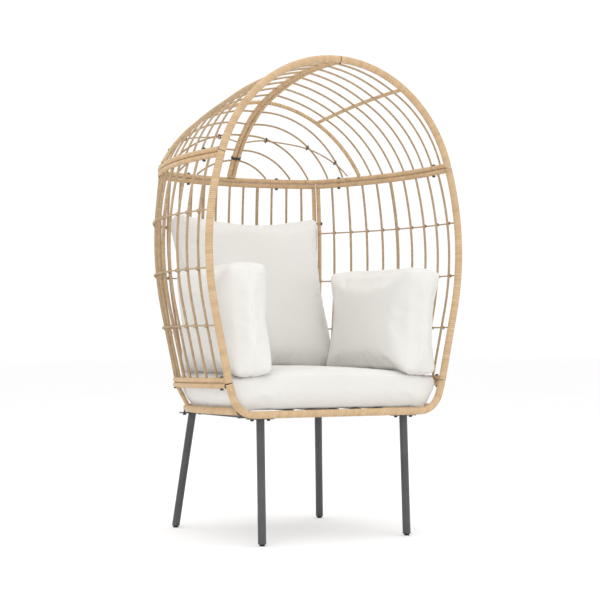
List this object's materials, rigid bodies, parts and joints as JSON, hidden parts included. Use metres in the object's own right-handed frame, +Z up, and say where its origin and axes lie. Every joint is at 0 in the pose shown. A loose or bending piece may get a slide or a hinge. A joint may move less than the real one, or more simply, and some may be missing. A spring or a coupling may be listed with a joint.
{
  "type": "standing egg chair",
  "caption": "Egg-shaped wicker lounge chair on four short legs, with a hooped open front, a ribbed hood and loose seat, back and side cushions.",
  "frame": {"origin": "on the floor, under the middle of the chair's overall box", "axes": "+Z up, -Y out of the open front, +X to the right of someone who faces the open front"},
  "size_m": [0.9328, 0.758, 1.4855],
  "materials": {
    "wicker": "flat resin strip wound round steel tube, light tan with streaks",
    "thin_wicker": "narrow resin strip wound round thin steel wire, greyer tan",
    "frame_paint": "charcoal powder coat, low sheen",
    "black_fittings": "black coated bolts, nuts, band and ties",
    "glide_plastic": "black moulded foot",
    "cushion_cloth": "off-white plain-weave outdoor cloth"
  },
  "bodies": {
    "root": {"sill_hoop": "wicker", "seat_upper_rail": "wicker", "seat_lower_rail": "wicker", "seat_struts": "wicker", "seat_cross_bars": "frame_paint", "seat_slats": "frame_paint", "leg_plates": "frame_paint", "leg_brace_left": "frame_paint", "leg_brace_right": "frame_paint", "leg_front_left": "frame_paint", "leg_front_right": "frame_paint", "leg_back_left": "frame_paint", "leg_back_right": "frame_paint", "leg_glides": "glide_plastic", "leg_bolts": "black_fittings", "side_front_post_left": "wicker", "side_front_post_right": "wicker", "side_top_rail_left": "wicker", "side_top_rail_right": "wicker", "side_bottom_rail_left": "wicker", "side_bottom_rail_right": "wicker", "side_back_post_left": "wicker", "side_back_post_right": "wicker", "side_rods_left": "thin_wicker", "side_rods_right": "thin_wicker", "side_rings_left": "thin_wicker", "side_rings_right": "thin_wicker", "back_top_rail": "wicker", "back_bottom_rail": "wicker", "back_posts": "wicker", "back_rods": "thin_wicker", "back_rings": "thin_wicker", "hood_hoop_left": "wicker", "hood_hoop_right": "wicker", "hood_ridge_left": "wicker", "hood_ridge_right": "wicker", "hood_rail_left": "wicker", "hood_rail_right": "wicker", "hood_arch_left": "wicker", "hood_arch_right": "wicker", "hood_cross_tube_left": "wicker", "hood_cross_tube_right": "wicker", "hood_front_wires_left": "thin_wicker", "hood_front_wires_right": "thin_wicker", "hood_rear_wires_left": "thin_wicker", "hood_rear_wires_right": "thin_wicker", "hood_stay_left": "thin_wicker", "hood_stay_right": "thin_wicker", "ridge_strap": "black_fittings", "wire_ties": "black_fittings", "split_bolts": "black_fittings", "split_nuts": "black_fittings", "shoulder_bolts": "black_fittings", "shoulder_nuts": "black_fittings", "corner_bolts": "black_fittings", "corner_nuts": "black_fittings", "seat_cushion": "cushion_cloth", "back_cushion": "cushion_cloth", "side_cushion_left": "cushion_cloth", "side_cushion_right": "cushion_cloth"}
  },
  "joints": []
}
